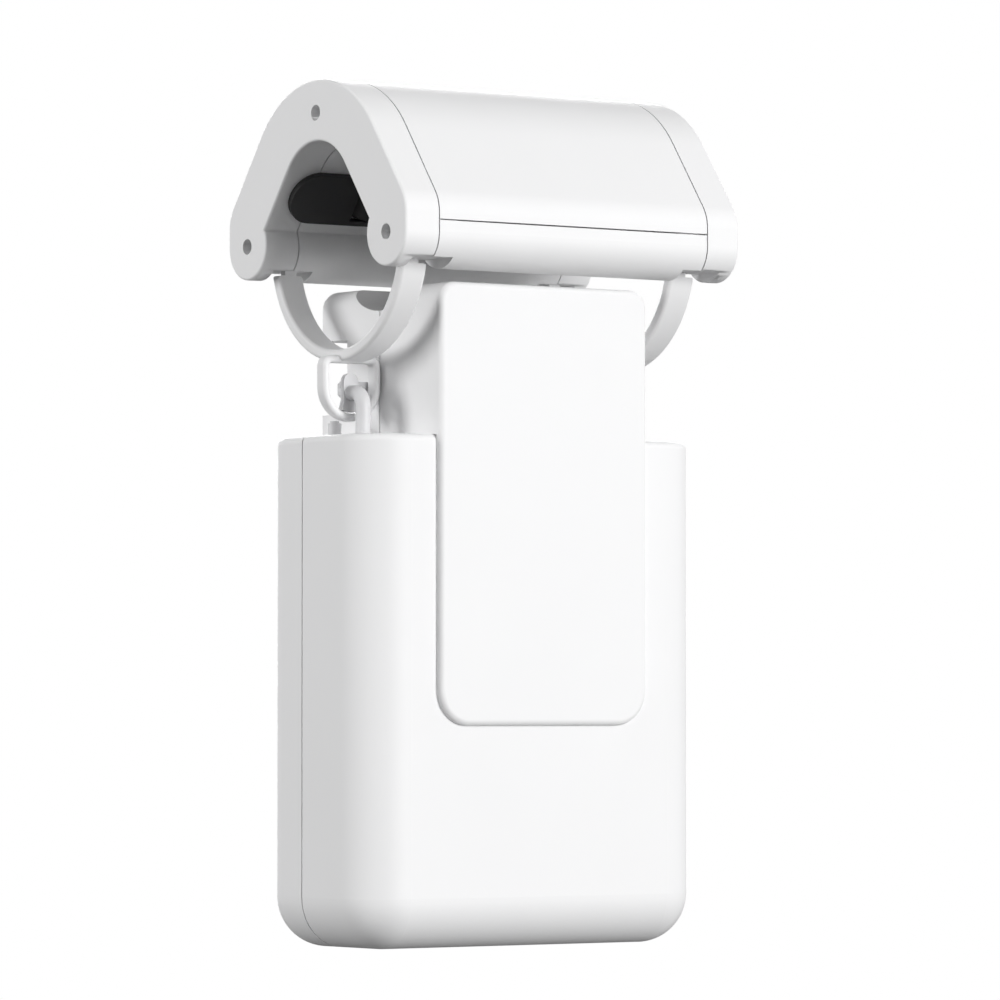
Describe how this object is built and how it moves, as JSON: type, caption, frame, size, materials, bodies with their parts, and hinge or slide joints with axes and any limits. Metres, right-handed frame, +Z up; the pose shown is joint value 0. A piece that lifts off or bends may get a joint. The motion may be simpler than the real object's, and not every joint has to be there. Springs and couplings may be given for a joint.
{
  "type": "motorised curtain opener",
  "caption": "Motorised curtain opener: an arched saddle on idler rollers rides a round rod, and sprung hooks pull the driver body with its drive wheels up against it.",
  "frame": {"origin": "on the axis of the curtain rod, half way along the saddle", "axes": "+X along the rod to the right, +Z up, the front panel faces -Y"},
  "size_m": [0.087, 0.065, 0.1799],
  "materials": {
    "housing": "satin white",
    "frame_plastic": "satin white",
    "strap_plastic": "smooth white",
    "guide_plastic": "satin light grey",
    "strip": "matt black",
    "rubber": "matt black",
    "steel": "bright",
    "motor_can": "satin",
    "drive_plastic": "satin grey",
    "gear_plastic": "natural white",
    "pinion_brass": "machined",
    "cell": "blue wrapper",
    "tray": "matt black",
    "board": "green lacquer",
    "lens": "clear"
  },
  "bodies": {
    "saddle": {"saddle_cover": "housing", "saddle_frame": "frame_plastic", "cap_left": "housing", "cap_right": "housing", "cap_screws": "steel", "carrier_front": "strip", "carrier_rear": "strip", "roller_pins": "steel", "strap_left": "strap_plastic", "strap_right": "strap_plastic"},
    "driver": {"front_panel": "housing", "rear_panel": "housing", "front_shell": "housing", "rear_shell": "housing", "shell_screws": "steel", "hook_guides": "guide_plastic", "spring_left": "steel", "spring_right": "steel", "drive_frame": "drive_plastic", "gear_pin": "steel", "motor": "motor_can", "motor_screws": "steel", "battery_cells": "cell", "battery_tray": "tray", "circuit_board": "board", "board_screws": "steel", "charging_inlet": "steel", "light_pipe": "lens"},
    "hook_left": {"hook_left": "strap_plastic"},
    "hook_right": {"hook_right": "strap_plastic"},
    "wheel_left": {"wheel_hub_left": "gear_plastic", "wheel_tyre_left": "rubber", "wheel_gear_left": "gear_plastic"},
    "wheel_right": {"wheel_hub_right": "gear_plastic", "wheel_tyre_right": "rubber", "wheel_gear_right": "gear_plastic"},
    "reduction_gear": {"reduction_gear": "gear_plastic"},
    "motor_pinion": {"motor_pinion": "pinion_brass"},
    "button": {"button": "housing"},
    "roller_front_left": {"roller_front_left": "rubber"},
    "roller_front_right": {"roller_front_right": "rubber"},
    "roller_rear_left": {"roller_rear_left": "rubber"},
    "roller_rear_right": {"roller_rear_right": "rubber"}
  },
  "joints": [
    {"name": "roller_front_left_spin", "type": "hinge", "parent": "saddle", "child": "roller_front_left", "pos_m": [-0.018, -0.01659, 0.0112], "axis": [0, -0.592, -0.8059], "continuous": true},
    {"name": "roller_front_right_spin", "type": "hinge", "parent": "saddle", "child": "roller_front_right", "pos_m": [0.018, -0.01659, 0.0112], "axis": [0, -0.592, -0.8059], "continuous": true},
    {"name": "roller_rear_left_spin", "type": "hinge", "parent": "saddle", "child": "roller_rear_left", "pos_m": [-0.018, 0.01659, 0.0112], "axis": [0, 0.592, -0.8059], "continuous": true},
    {"name": "roller_rear_right_spin", "type": "hinge", "parent": "saddle", "child": "roller_rear_right", "pos_m": [0.018, 0.01659, 0.0112], "axis": [0, 0.592, -0.8059], "continuous": true},
    {"name": "driver_drop", "type": "slide", "parent": "saddle", "child": "driver", "axis": [0, 0, 1], "range_m": [-0.008, 0], "stiffness_N_per_m": 600, "springref_m": 0.012},
    {"name": "hook_left_slide", "type": "slide", "parent": "driver", "child": "hook_left", "axis": [0, 0, 1], "range_m": [0, 0.008], "deforming": ["spring_left"]},
    {"name": "hook_right_slide", "type": "slide", "parent": "driver", "child": "hook_right", "axis": [0, 0, 1], "range_m": [0, 0.008], "deforming": ["spring_right"]},
    {"name": "wheel_left_spin", "type": "hinge", "parent": "driver", "child": "wheel_left", "pos_m": [-0.0115, 0, -0.0225], "axis": [0, 1, 0], "continuous": true},
    {"name": "wheel_right_spin", "type": "hinge", "parent": "driver", "child": "wheel_right", "pos_m": [0.0115, 0, -0.0225], "axis": [0, 1, 0], "continuous": true},
    {"name": "reduction_spin", "type": "hinge", "parent": "driver", "child": "reduction_gear", "pos_m": [0, -0.014, -0.03362], "axis": [0, 1, 0], "continuous": true},
    {"name": "pinion_spin", "type": "hinge", "parent": "driver", "child": "motor_pinion", "pos_m": [0, -0.014, -0.04962], "axis": [0, 1, 0], "continuous": true},
    {"name": "button_press", "type": "slide", "parent": "driver", "child": "button", "axis": [0, -1, 0], "range_m": [0, 0.0008], "stiffness_N_per_m": 1500, "springref_m": -0.0005}
  ],
  "couplings": [
    {"joint": "hook_left_slide", "follows": "driver_drop", "ratio": -1},
    {"joint": "hook_right_slide", "follows": "driver_drop", "ratio": -1},
    {"joint": "wheel_right_spin", "follows": "wheel_left_spin", "ratio": 1},
    {"joint": "reduction_spin", "follows": "wheel_left_spin", "ratio": -1},
    {"joint": "pinion_spin", "follows": "wheel_left_spin", "ratio": 1.8571}
  ]
}
